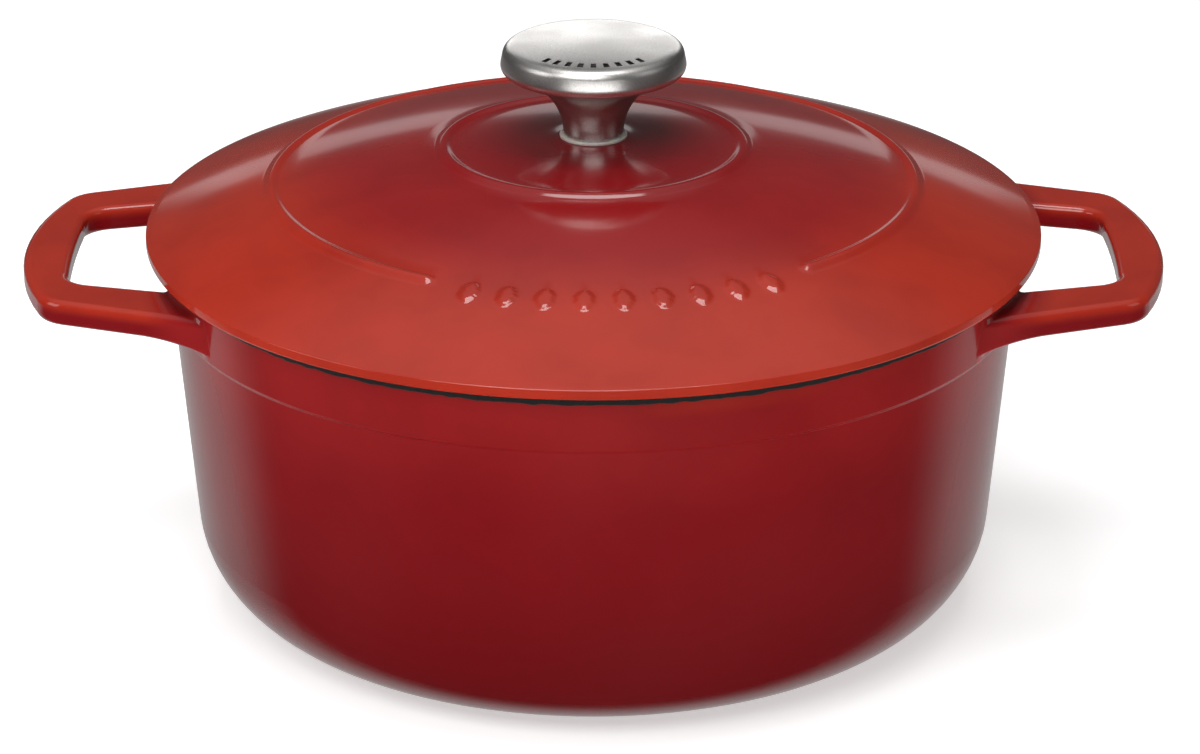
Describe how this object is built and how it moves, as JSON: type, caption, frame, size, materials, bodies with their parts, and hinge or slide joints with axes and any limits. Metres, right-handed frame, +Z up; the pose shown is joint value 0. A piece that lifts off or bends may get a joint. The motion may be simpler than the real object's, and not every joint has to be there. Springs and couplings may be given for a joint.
{
  "type": "cast iron dutch oven",
  "caption": "Round red enamelled cast iron dutch oven with two loop handles, a domed lid with raised rings, and a steel mushroom knob held by a screw from below.",
  "frame": {"origin": "centre of the foot ring, on the plane that the pot stands on", "axes": "+Z up along the pot's axis; +X from the axis out through the right-hand loop handle; the opening in the lid's outer ring faces -Y"},
  "size_m": [0.342, 0.268, 0.1747],
  "materials": {
    "pot_enamel": "cast iron in gloss red vitreous enamel outside, cream enamel inside, matt dark rim",
    "lid_enamel": "cast iron in gloss red vitreous enamel outside, cream enamel inside, matt dark seat",
    "knob_steel": "satin stainless steel, turned and brushed",
    "gasket": "pale translucent silicone washer",
    "fastener_steel": "plain stainless steel"
  },
  "bodies": {
    "pot": {"pot": "pot_enamel"},
    "lid": {"lid": "lid_enamel", "knob_gasket": "gasket"},
    "knob": {"knob": "knob_steel"},
    "screw": {"knob_screw": "fastener_steel", "flat_washer": "fastener_steel", "lock_washer": "fastener_steel"}
  },
  "joints": [
    {"name": "lid_lift", "type": "slide", "parent": "pot", "child": "lid", "axis": [0, 0, 1], "range_m": [0, 0.2]},
    {"name": "knob_turn", "type": "hinge", "parent": "lid", "child": "knob", "pos_m": [0, 0, 0.15], "axis": [0, 0, 1], "range_deg": [0, 3240]},
    {"name": "screw_drop", "type": "slide", "parent": "lid", "child": "screw", "axis": [0, 0, -1], "range_m": [0, 0.00905]}
  ],
  "couplings": [
    {"joint": "screw_drop", "follows": "knob_turn", "m_per_rad": 0.00015915}
  ]
}
